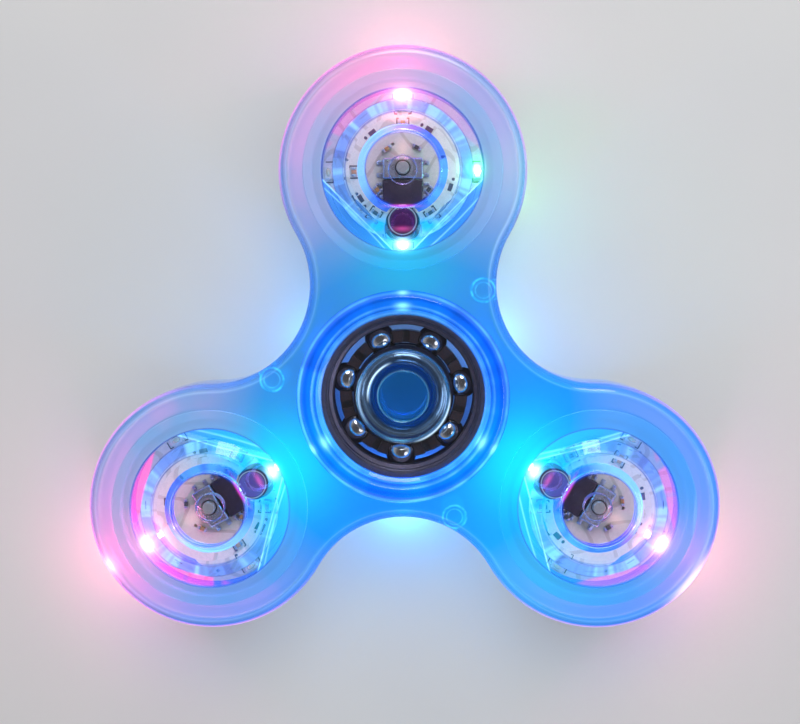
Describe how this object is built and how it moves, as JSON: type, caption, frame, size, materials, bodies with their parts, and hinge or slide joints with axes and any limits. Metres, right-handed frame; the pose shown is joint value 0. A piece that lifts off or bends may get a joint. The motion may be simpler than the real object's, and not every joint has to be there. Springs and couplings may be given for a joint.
{
  "type": "fidget spinner",
  "caption": "Clear three-lobed fidget spinner on an open ball bearing, with two finger caps and a lit lamp capsule, push button and cells in each lobe.",
  "frame": {"origin": "centre of the ball bearing, on the seam plane between the two half shells", "axes": "+Z along the bearing's axis, out of the front with the push buttons; +Y towards the first lobe; +X to the right seen from the front"},
  "size_m": [0.08, 0.0735, 0.0148],
  "materials": {
    "clear_plastic": "clear polished plastic that glows blue near the hub and pink at the lobe ends",
    "race_steel": "ground bearing steel",
    "ball_steel": "polished bearing steel",
    "cage_dark": "dark brown moulded nylon",
    "board": "white solder mask",
    "switch_plastic": "moulded plastic with a metal face",
    "plunger_grey": "moulded plastic",
    "chip_black": "moulded epoxy",
    "contact_metal": "plated spring sheet",
    "cell_steel": "nickel-plated steel",
    "screw_black": "black-oxide steel",
    "lamp_red": "lit lamp, pink-red",
    "lamp_green": "lit lamp, green",
    "lamp_blue": "lit lamp, cyan-blue"
  },
  "bodies": {
    "hub": {"front_cap": "clear_plastic", "rear_cap": "clear_plastic", "bearing_inner_race": "race_steel"},
    "spinner_body": {"front_shell": "clear_plastic", "rear_shell": "clear_plastic", "bearing_outer_race": "race_steel", "pod_lens_1": "clear_plastic", "circuit_board_1": "board", "switch_body_1": "switch_plastic", "driver_chip_1": "chip_black", "battery_cover_1": "clear_plastic", "contact_strip_1": "contact_metal", "cover_screw_1": "screw_black", "cell_a_1": "cell_steel", "cell_b_1": "cell_steel", "cell_c_1": "cell_steel", "led_red_1": "lamp_red", "led_green_1": "lamp_green", "led_blue_1": "lamp_blue", "pod_lens_2": "clear_plastic", "circuit_board_2": "board", "switch_body_2": "switch_plastic", "driver_chip_2": "chip_black", "battery_cover_2": "clear_plastic", "contact_strip_2": "contact_metal", "cover_screw_2": "screw_black", "cell_a_2": "cell_steel", "cell_b_2": "cell_steel", "cell_c_2": "cell_steel", "led_red_2": "lamp_red", "led_green_2": "lamp_green", "led_blue_2": "lamp_blue", "pod_lens_3": "clear_plastic", "circuit_board_3": "board", "switch_body_3": "switch_plastic", "driver_chip_3": "chip_black", "battery_cover_3": "clear_plastic", "contact_strip_3": "contact_metal", "cover_screw_3": "screw_black", "cell_a_3": "cell_steel", "cell_b_3": "cell_steel", "cell_c_3": "cell_steel", "led_red_3": "lamp_red", "led_green_3": "lamp_green", "led_blue_3": "lamp_blue"},
    "ball_cage": {"bearing_cage": "cage_dark"},
    "ball_1": {"bearing_ball_1": "ball_steel"},
    "ball_2": {"bearing_ball_2": "ball_steel"},
    "ball_3": {"bearing_ball_3": "ball_steel"},
    "ball_4": {"bearing_ball_4": "ball_steel"},
    "ball_5": {"bearing_ball_5": "ball_steel"},
    "ball_6": {"bearing_ball_6": "ball_steel"},
    "ball_7": {"bearing_ball_7": "ball_steel"},
    "button_1": {"pod_button_1": "clear_plastic", "switch_plunger_1": "plunger_grey"},
    "button_2": {"pod_button_2": "clear_plastic", "switch_plunger_2": "plunger_grey"},
    "button_3": {"pod_button_3": "clear_plastic", "switch_plunger_3": "plunger_grey"}
  },
  "joints": [
    {"name": "body_spin", "type": "hinge", "parent": "hub", "child": "spinner_body", "pos_m": [0, 0, 0], "axis": [0, 0, 1], "continuous": true},
    {"name": "cage_spin", "type": "hinge", "parent": "hub", "child": "ball_cage", "pos_m": [0, 0, 0], "axis": [0, 0, 1], "continuous": true},
    {"name": "ball_spin_1", "type": "hinge", "parent": "ball_cage", "child": "ball_1", "pos_m": [0.00738, 0.00135, 0], "axis": [0, 0, 1], "continuous": true},
    {"name": "ball_spin_2", "type": "hinge", "parent": "ball_cage", "child": "ball_2", "pos_m": [0.00354, 0.00661, 0], "axis": [0, 0, 1], "continuous": true},
    {"name": "ball_spin_3", "type": "hinge", "parent": "ball_cage", "child": "ball_3", "pos_m": [-0.00296, 0.00689, 0], "axis": [0, 0, 1], "continuous": true},
    {"name": "ball_spin_4", "type": "hinge", "parent": "ball_cage", "child": "ball_4", "pos_m": [-0.00723, 0.00198, 0], "axis": [0, 0, 1], "continuous": true},
    {"name": "ball_spin_5", "type": "hinge", "parent": "ball_cage", "child": "ball_5", "pos_m": [-0.00606, -0.00442, 0], "axis": [0, 0, 1], "continuous": true},
    {"name": "ball_spin_6", "type": "hinge", "parent": "ball_cage", "child": "ball_6", "pos_m": [-0.00032, -0.00749, 0], "axis": [0, 0, 1], "continuous": true},
    {"name": "ball_spin_7", "type": "hinge", "parent": "ball_cage", "child": "ball_7", "pos_m": [0.00566, -0.00492, 0], "axis": [0, 0, 1], "continuous": true},
    {"name": "button_press_1", "type": "slide", "parent": "spinner_body", "child": "button_1", "axis": [0, 0, -1], "range_m": [0, 0.0005], "stiffness_N_per_m": 20, "springref_m": -0.0005},
    {"name": "button_press_2", "type": "slide", "parent": "spinner_body", "child": "button_2", "axis": [0, 0, -1], "range_m": [0, 0.0005], "stiffness_N_per_m": 20, "springref_m": -0.0005},
    {"name": "button_press_3", "type": "slide", "parent": "spinner_body", "child": "button_3", "axis": [0, 0, -1], "range_m": [0, 0.0005], "stiffness_N_per_m": 20, "springref_m": -0.0005}
  ],
  "couplings": [
    {"joint": "cage_spin", "follows": "body_spin", "ratio": 0.63227},
    {"joint": "ball_spin_1", "follows": "body_spin", "ratio": 1.7578},
    {"joint": "ball_spin_2", "follows": "body_spin", "ratio": 1.7578},
    {"joint": "ball_spin_3", "follows": "body_spin", "ratio": 1.7578},
    {"joint": "ball_spin_4", "follows": "body_spin", "ratio": 1.7578},
    {"joint": "ball_spin_5", "follows": "body_spin", "ratio": 1.7578},
    {"joint": "ball_spin_6", "follows": "body_spin", "ratio": 1.7578},
    {"joint": "ball_spin_7", "follows": "body_spin", "ratio": 1.7578}
  ]
}
